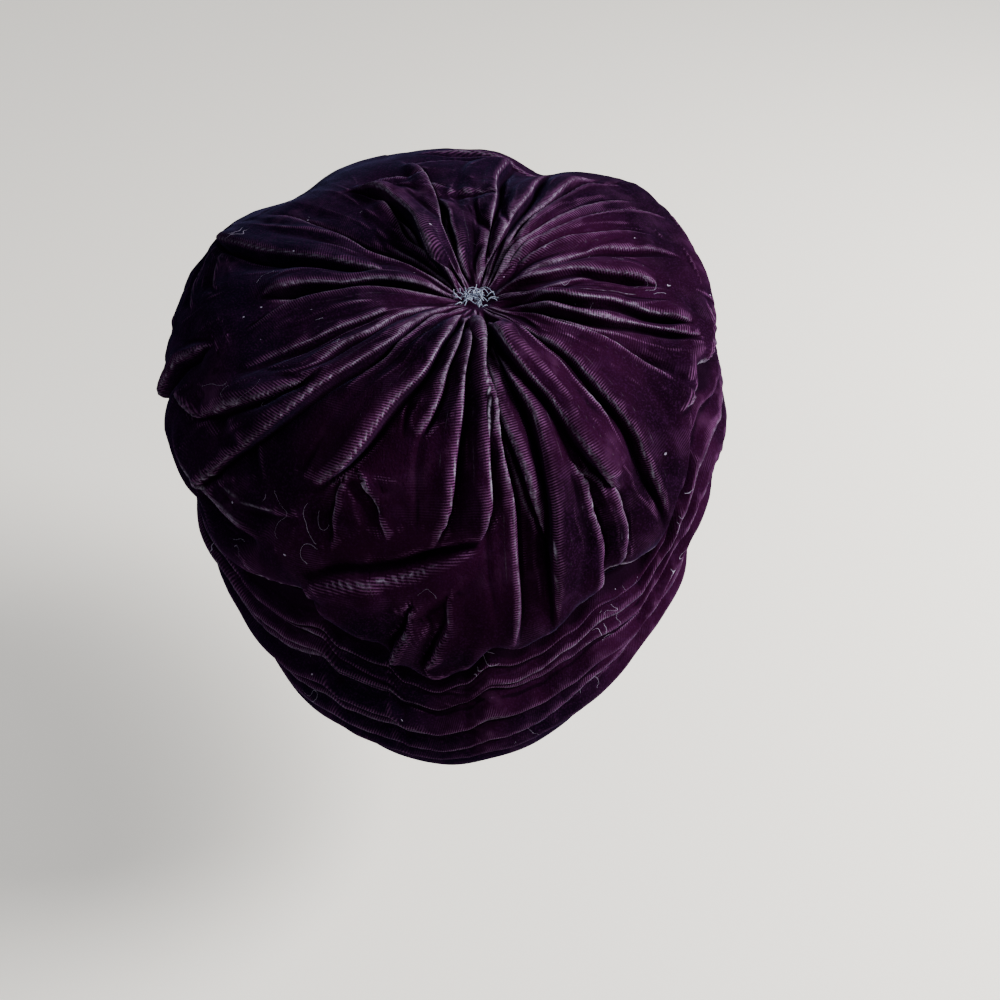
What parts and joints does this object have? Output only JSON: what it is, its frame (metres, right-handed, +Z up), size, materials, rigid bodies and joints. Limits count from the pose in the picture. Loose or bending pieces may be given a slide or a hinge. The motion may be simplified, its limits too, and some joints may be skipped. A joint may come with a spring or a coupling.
{
  "type": "turban headwrap",
  "caption": "Draped velvet turban hat: a crown gathered to its middle and puffed over wrapped, folded band swathes that go round the head.",
  "frame": {"origin": "middle of the head opening, half way between its low nape edge and its high front edge", "axes": "+Z up as worn, +Y towards the wearer's front, +X to the wearer's right"},
  "size_m": [0.2209, 0.2291, 0.1911],
  "materials": {
    "velvet": "crushed velvet",
    "thread": "worn thread"
  },
  "bodies": {
    "root": {"crown": "velvet", "band_upper": "velvet", "band_middle": "velvet", "band_lower": "velvet", "gather_knot": "thread"}
  },
  "joints": []
}
